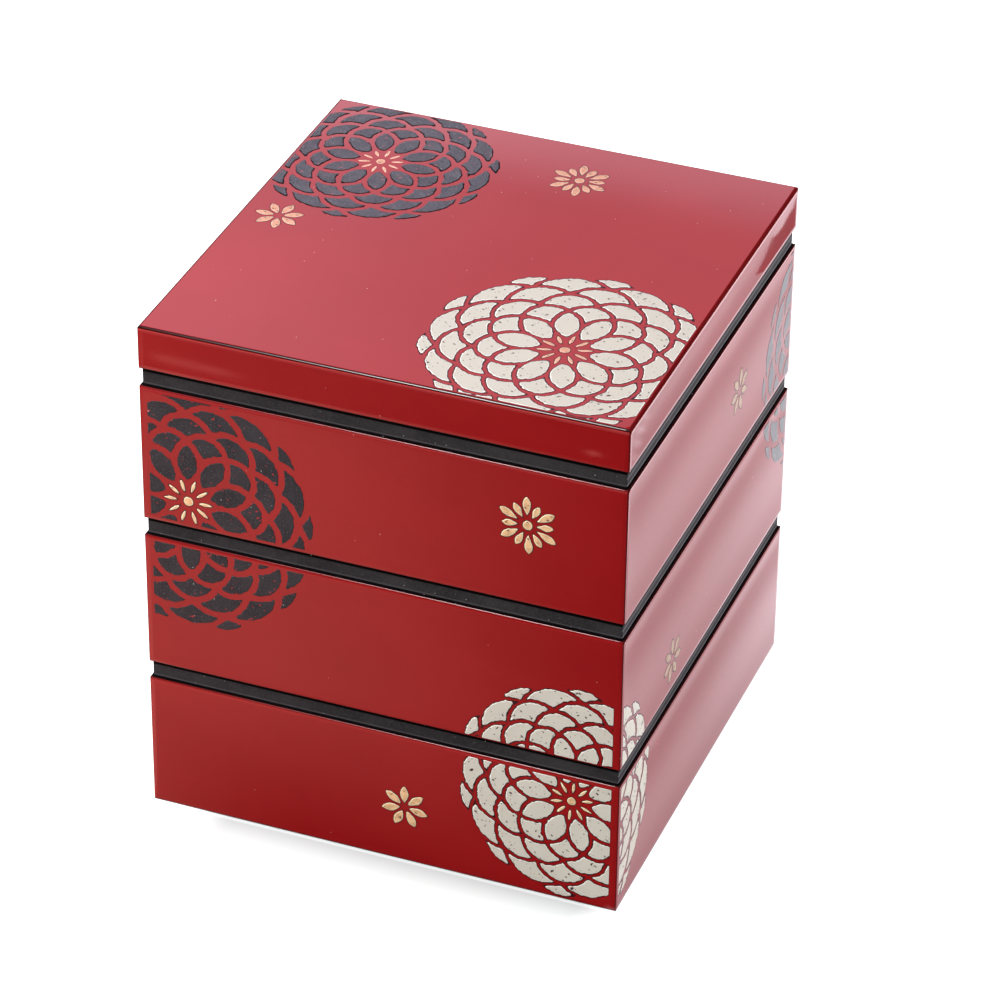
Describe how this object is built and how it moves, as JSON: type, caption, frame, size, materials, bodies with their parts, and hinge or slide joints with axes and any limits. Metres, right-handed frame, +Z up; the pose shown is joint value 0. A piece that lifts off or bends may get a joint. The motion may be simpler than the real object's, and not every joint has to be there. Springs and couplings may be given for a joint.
{
  "type": "stacking lacquer jubako box",
  "caption": "Square stacking food box in red lacquer with black stepped rims, chrysanthemum prints and a flat lift-off lid; each tier locates on the lip of the one below.",
  "frame": {"origin": "middle of the lowest tier's footprint, on the surface the box stands on", "axes": "+Z up through the stack; -Y towards the front, the face with the black and the white roundel; +X towards the right side"},
  "size_m": [0.18, 0.18, 0.2015],
  "materials": {
    "red_lacquer": "polished red lacquer over a wood core, black on the inside faces",
    "black_lacquer": "satin black lacquer over a wood core",
    "white_print": "off-white lacquer print, slightly raised, with fine dark specks",
    "black_print": "charcoal lacquer print, slightly raised",
    "gold_print": "pale gold lacquer print"
  },
  "bodies": {
    "lower_tier": {"lower_wall_front": "red_lacquer", "lower_wall_right": "red_lacquer", "lower_wall_back": "red_lacquer", "lower_wall_left": "red_lacquer", "lower_floor": "black_lacquer", "lower_rim_front": "black_lacquer", "lower_rim_right": "black_lacquer", "lower_rim_back": "black_lacquer", "lower_rim_left": "black_lacquer"},
    "middle_tier": {"middle_wall_front": "red_lacquer", "middle_wall_right": "red_lacquer", "middle_wall_back": "red_lacquer", "middle_wall_left": "red_lacquer", "middle_floor": "black_lacquer", "middle_rim_front": "black_lacquer", "middle_rim_right": "black_lacquer", "middle_rim_back": "black_lacquer", "middle_rim_left": "black_lacquer"},
    "upper_tier": {"upper_wall_front": "red_lacquer", "upper_wall_right": "red_lacquer", "upper_wall_back": "red_lacquer", "upper_wall_left": "red_lacquer", "upper_floor": "black_lacquer", "upper_rim_front": "black_lacquer", "upper_rim_right": "black_lacquer", "upper_rim_back": "black_lacquer", "upper_rim_left": "black_lacquer"},
    "lid": {"lid_skirt_front": "red_lacquer", "lid_skirt_right": "red_lacquer", "lid_skirt_back": "red_lacquer", "lid_skirt_left": "red_lacquer", "lid_top": "red_lacquer"}
  },
  "joints": [
    {"name": "middle_lift", "type": "slide", "parent": "lower_tier", "child": "middle_tier", "axis": [0, 0, 1], "range_m": [0, 0.08]},
    {"name": "upper_lift", "type": "slide", "parent": "middle_tier", "child": "upper_tier", "axis": [0, 0, 1], "range_m": [0, 0.08]},
    {"name": "lid_lift", "type": "slide", "parent": "upper_tier", "child": "lid", "axis": [0, 0, 1], "range_m": [0, 0.08]}
  ]
}
